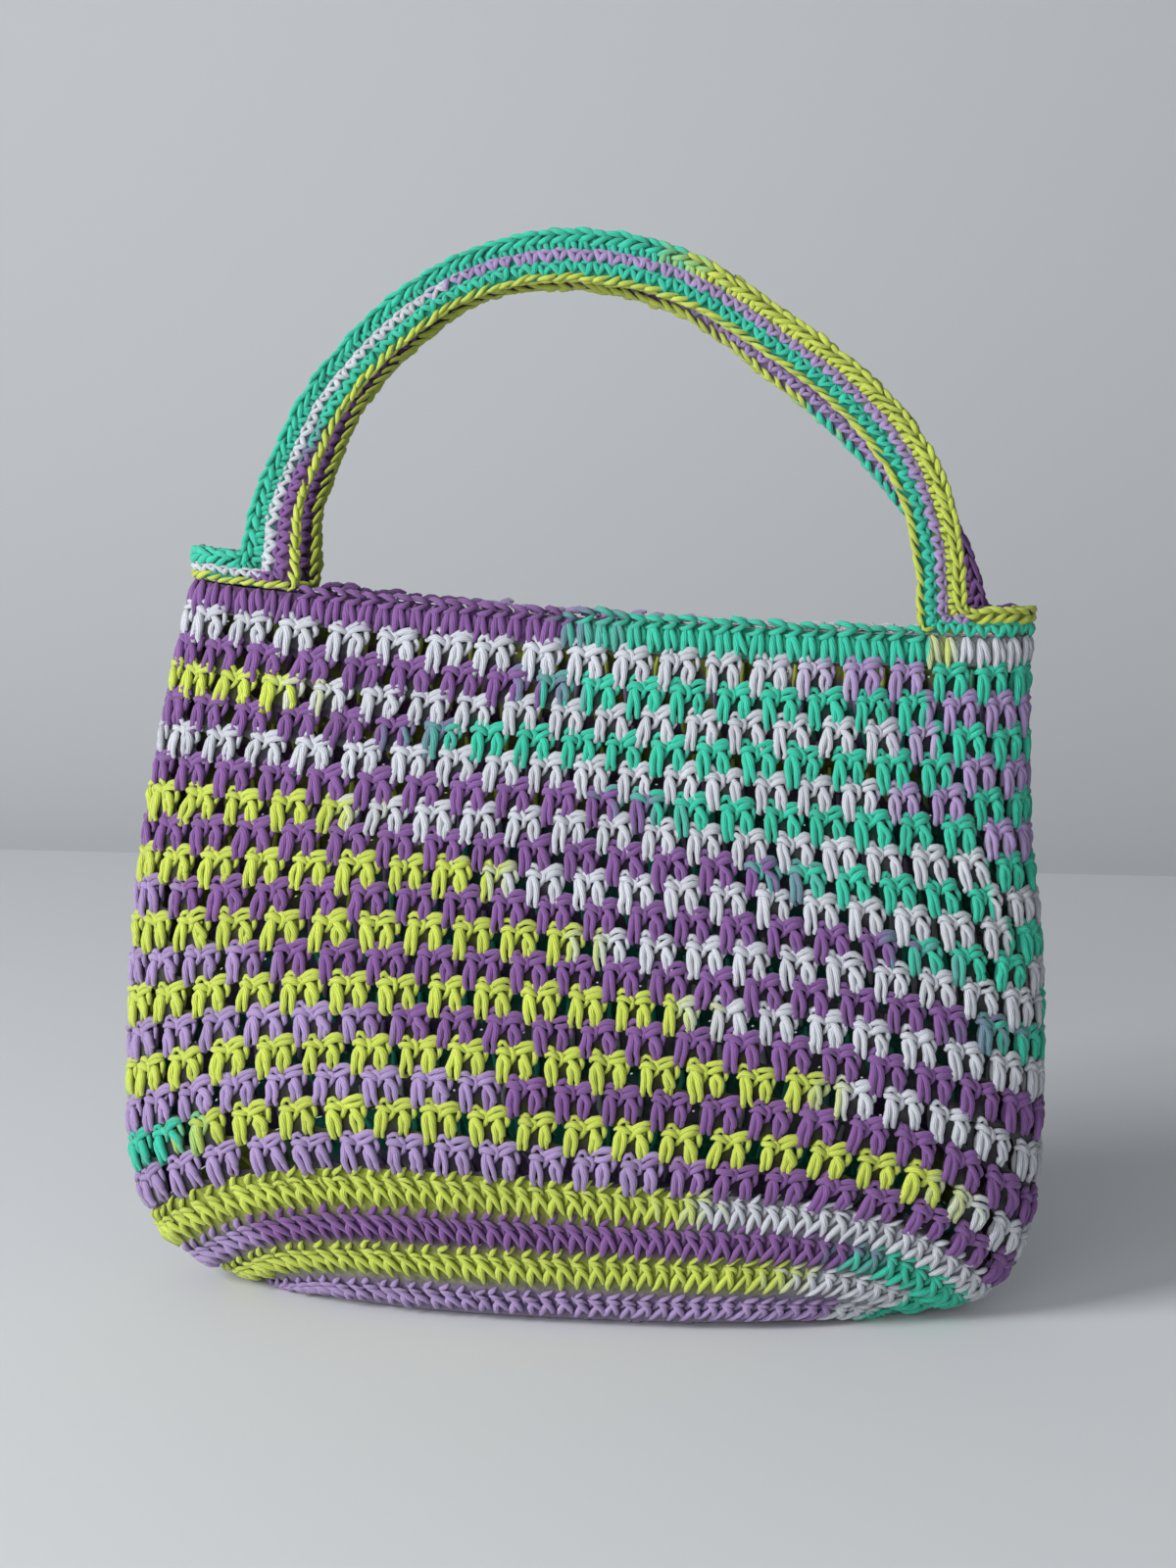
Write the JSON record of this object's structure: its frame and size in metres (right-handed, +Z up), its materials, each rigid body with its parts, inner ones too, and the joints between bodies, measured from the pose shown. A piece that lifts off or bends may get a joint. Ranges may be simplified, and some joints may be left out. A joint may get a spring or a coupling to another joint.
{
  "type": "crochet tote bag",
  "caption": "Open-topped crochet tote bag in striped yarn: dense oval base with rounded corners, openwork body, firm rim and strap handles that lean together over the mouth.",
  "frame": {"origin": "middle of the bounding box, on the surface that the bag stands on", "axes": "+Z up, +X to the right of someone who looks at the front, -Y out of the front"},
  "size_m": [0.3308, 0.094, 0.379],
  "materials": {
    "base_yarn": "dense crochet of soft matte cotton yarn in lime, purple, lilac and white stripes",
    "net_yarn": "openwork crochet of soft matte cotton yarn, striped purple, lime, white, teal and lilac",
    "rim_yarn": "dense crochet of soft matte cotton yarn, purple running into teal",
    "strap_yarn": "tight crochet of soft matte cotton yarn in narrow lengthwise stripes",
    "edging_yarn": "chain-edged crochet of soft matte cotton yarn in narrow stripes"
  },
  "bodies": {
    "root": {"base": "base_yarn", "net_body": "net_yarn", "rim": "rim_yarn", "handle_front": "strap_yarn", "handle_back": "strap_yarn", "shoulder_left": "edging_yarn", "shoulder_right": "edging_yarn"}
  },
  "joints": []
}
